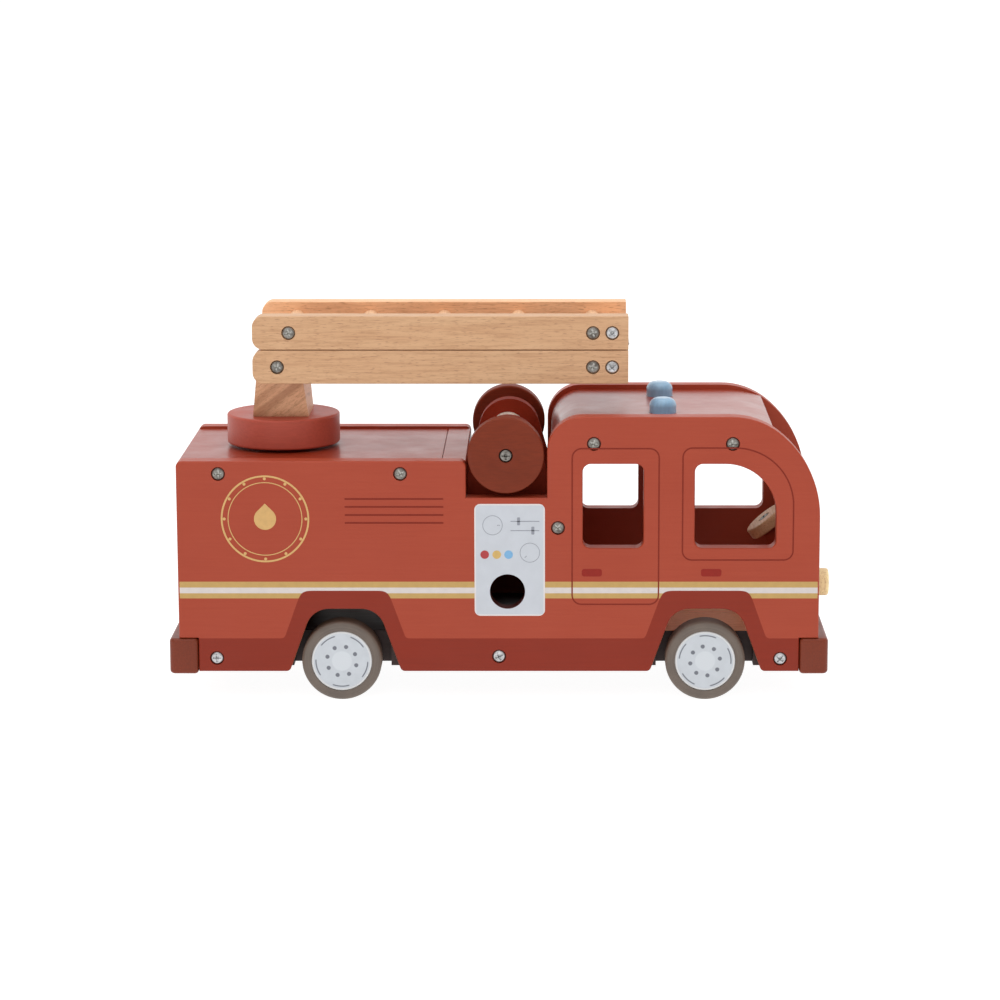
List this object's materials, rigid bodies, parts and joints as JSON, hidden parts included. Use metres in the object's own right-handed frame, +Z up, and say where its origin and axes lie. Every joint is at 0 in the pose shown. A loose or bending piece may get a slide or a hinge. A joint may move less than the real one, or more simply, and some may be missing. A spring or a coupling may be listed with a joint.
{
  "type": "toy fire engine",
  "caption": "Wooden toy fire engine with a turning, rising and unfolding ladder, hose reel, open cab with steering wheel, and free-rolling wheels.",
  "frame": {"origin": "on the floor, under the middle of the vehicle between its two bumpers", "axes": "+X to the front of the vehicle, +Z up, +Y to the vehicle's left"},
  "size_m": [0.3307, 0.116, 0.1913],
  "materials": {
    "red_paint": "satin red stain and varnish on wood",
    "dark_red_paint": "satin dark red varnish on wood",
    "beech": "clear matt varnish on light wood",
    "blue_paint": "satin blue varnish on wood",
    "grey_tyre": "satin grey-brown varnish on wood",
    "pale_grey_hub": "satin pale grey print on wood",
    "steel": "zinc plated",
    "nylon": "natural matt"
  },
  "bodies": {
    "chassis": {"right_side_panel": "red_paint", "left_side_panel": "red_paint", "base_board": "beech", "rear_wall": "red_paint", "rear_deck": "red_paint", "bay_bulkhead": "red_paint", "bay_floor": "red_paint", "cab_rear_wall": "red_paint", "cab_roof": "red_paint", "front_wall": "red_paint", "rear_bumper": "dark_red_paint", "front_bumper": "dark_red_paint", "steering_block": "red_paint", "steering_screw": "steel", "right_beacon": "blue_paint", "left_beacon": "blue_paint", "right_headlight": "beech", "left_headlight": "beech", "right_reel_bracket": "dark_red_paint", "left_reel_bracket": "dark_red_paint", "upper_panel_screws": "steel", "lower_panel_screws": "steel", "axle_bushes": "nylon", "axle_spacers": "steel", "turntable_washer": "nylon"},
    "front_wheels": {"front_axle": "steel", "front_right_tyre": "grey_tyre", "front_left_tyre": "grey_tyre", "front_right_hub": "pale_grey_hub", "front_left_hub": "pale_grey_hub"},
    "rear_wheels": {"rear_axle": "steel", "rear_right_tyre": "grey_tyre", "rear_left_tyre": "grey_tyre", "rear_right_hub": "pale_grey_hub", "rear_left_hub": "pale_grey_hub"},
    "turntable": {"turntable_disc": "red_paint", "turntable_bolt": "steel", "bolt_washer": "steel", "ladder_block": "beech", "ladder_pivot_screws": "steel"},
    "ladder_lower": {"lower_right_rail": "beech", "lower_left_rail": "beech", "lower_rungs": "beech", "lower_rung_screws": "steel", "lower_end_block": "beech", "lower_end_bolts": "steel", "lower_hinge_leaf": "steel", "hinge_pin": "steel"},
    "ladder_upper": {"upper_right_rail": "beech", "upper_left_rail": "beech", "upper_rungs": "beech", "upper_rung_screws": "steel", "upper_end_block": "beech", "upper_end_bolts": "steel", "upper_hinge_leaf": "steel"},
    "hose_reel": {"reel_spindle": "beech", "right_reel_disc": "dark_red_paint", "left_reel_disc": "dark_red_paint", "reel_screws": "steel"},
    "steering": {"steering_wheel": "beech"}
  },
  "joints": [
    {"name": "turntable_spin", "type": "hinge", "parent": "chassis", "child": "turntable", "pos_m": [-0.1108, 0, 0.13], "axis": [0, 0, 1], "continuous": true},
    {"name": "ladder_raise", "type": "hinge", "parent": "turntable", "child": "ladder_lower", "pos_m": [-0.1108, 0, 0.1657], "axis": [0, -1, 0], "range_deg": [0, 75]},
    {"name": "ladder_fold", "type": "hinge", "parent": "ladder_lower", "child": "ladder_upper", "pos_m": [0.065, 0, 0.1743], "axis": [0, 1, 0], "range_deg": [0, 180]},
    {"name": "reel_spin", "type": "hinge", "parent": "chassis", "child": "hose_reel", "pos_m": [0.0037, 0, 0.1247], "axis": [0, 1, 0], "continuous": true},
    {"name": "front_axle_roll", "type": "hinge", "parent": "chassis", "child": "front_wheels", "pos_m": [0.1034, 0, 0.02], "axis": [0, 1, 0], "continuous": true},
    {"name": "rear_axle_roll", "type": "hinge", "parent": "chassis", "child": "rear_wheels", "pos_m": [-0.0788, 0, 0.02], "axis": [0, 1, 0], "continuous": true},
    {"name": "steering_turn", "type": "hinge", "parent": "chassis", "child": "steering", "pos_m": [0.1367, 0.018, 0.0793], "axis": [-0.6266, 0, 0.7793], "continuous": true}
  ]
}
